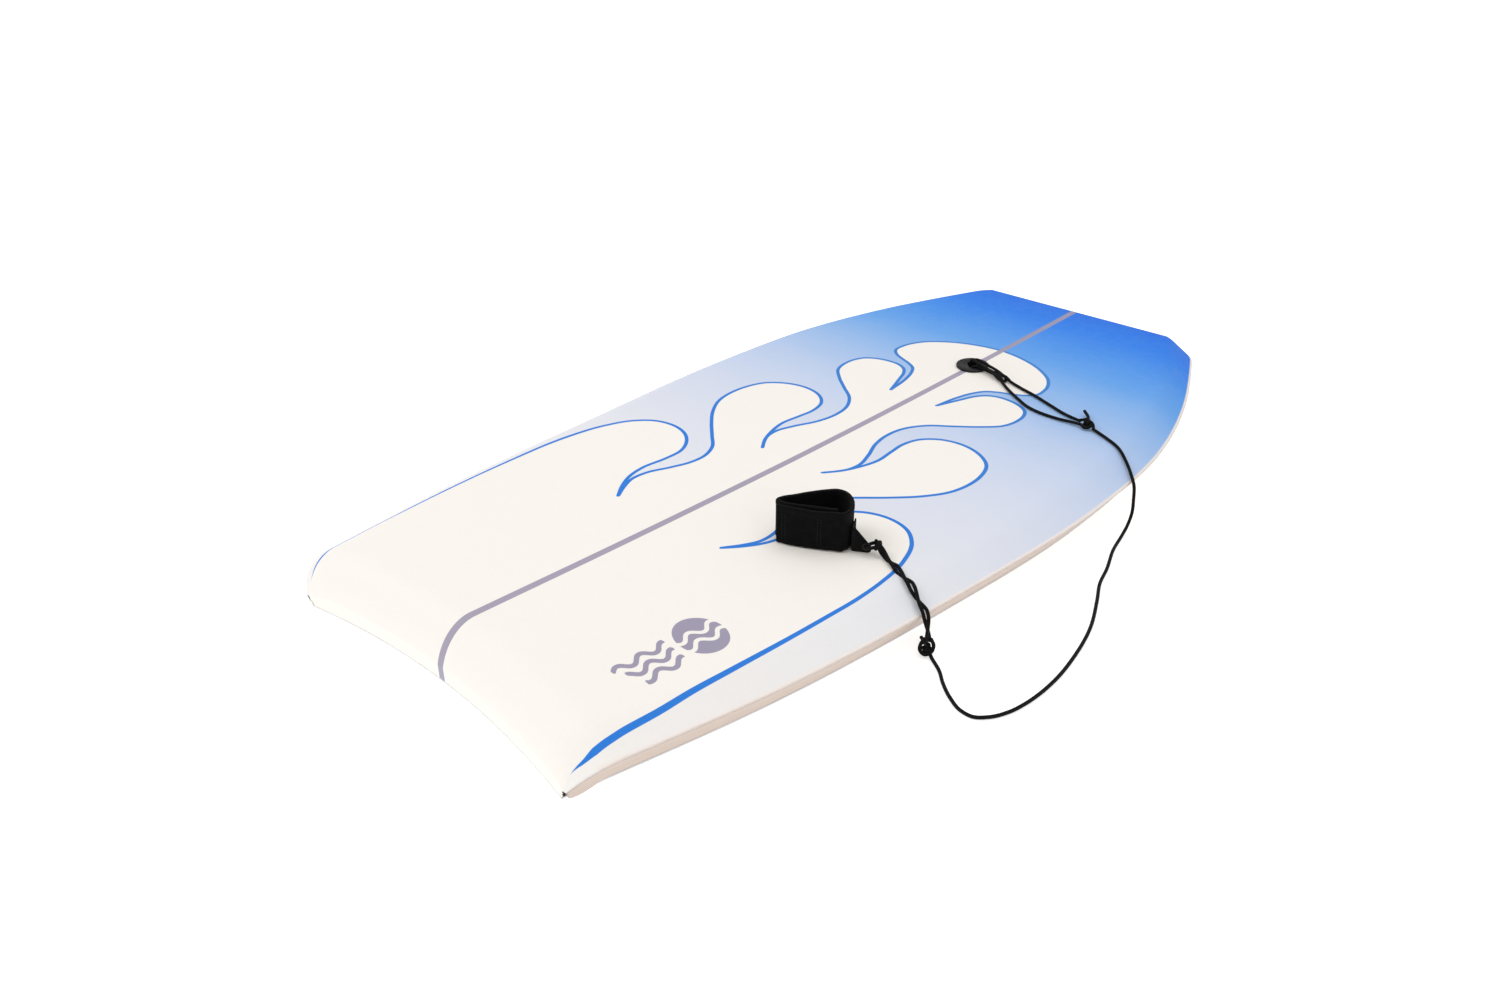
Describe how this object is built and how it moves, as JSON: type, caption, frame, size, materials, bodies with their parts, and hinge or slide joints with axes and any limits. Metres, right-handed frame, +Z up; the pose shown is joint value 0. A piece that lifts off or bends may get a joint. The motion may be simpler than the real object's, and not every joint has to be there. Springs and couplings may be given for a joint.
{
  "type": "bodyboard",
  "caption": "Foam bodyboard with a crescent tail, beveled deck and lower rail band, a leash plug through the deck, and a cord leash knotted to a wrist cuff with a hook-and-loop flap.",
  "frame": {"origin": "centre of the board's footprint, on the surface its slick skin rests on", "axes": "+Y along the board to the nose, +X to the right rail, +Z up out of the deck"},
  "size_m": [0.6469, 1.05, 0.0946],
  "materials": {
    "deck_foam": "satin",
    "core_foam": "matte",
    "slick": "gloss",
    "rail_foam": "matte",
    "plug_plastic": "satin",
    "cord": "matte",
    "neoprene": "matte",
    "loop_pile": "matte",
    "webbing": "matte",
    "hook_pile": "matte"
  },
  "bodies": {
    "board": {"deck_skin": "deck_foam", "foam_core": "core_foam", "slick_skin": "slick", "left_rail": "rail_foam", "right_rail": "rail_foam", "nose_rail": "rail_foam", "plug_top": "plug_plastic", "plug_base": "plug_plastic", "nose_hitch": "cord", "nose_strand_upper": "cord", "nose_strand_lower": "cord", "nose_knot": "cord", "nose_knot_end": "cord", "leash_cord": "cord", "wrist_knot": "cord", "wrist_knot_end": "cord", "wrist_strand_front": "cord", "wrist_strand_back": "cord", "wrist_hitch": "cord", "cuff_band": "neoprene", "cuff_loop_patch": "loop_pile", "cuff_tab": "webbing"},
    "flap": {"cuff_flap": "neoprene", "cuff_hook_patch": "hook_pile"}
  },
  "joints": [
    {"name": "flap_fold", "type": "hinge", "parent": "board", "child": "flap", "pos_m": [0.15759, -0.16566, 0.0746], "axis": [0, 0, 1], "range_deg": [0, 100]}
  ]
}
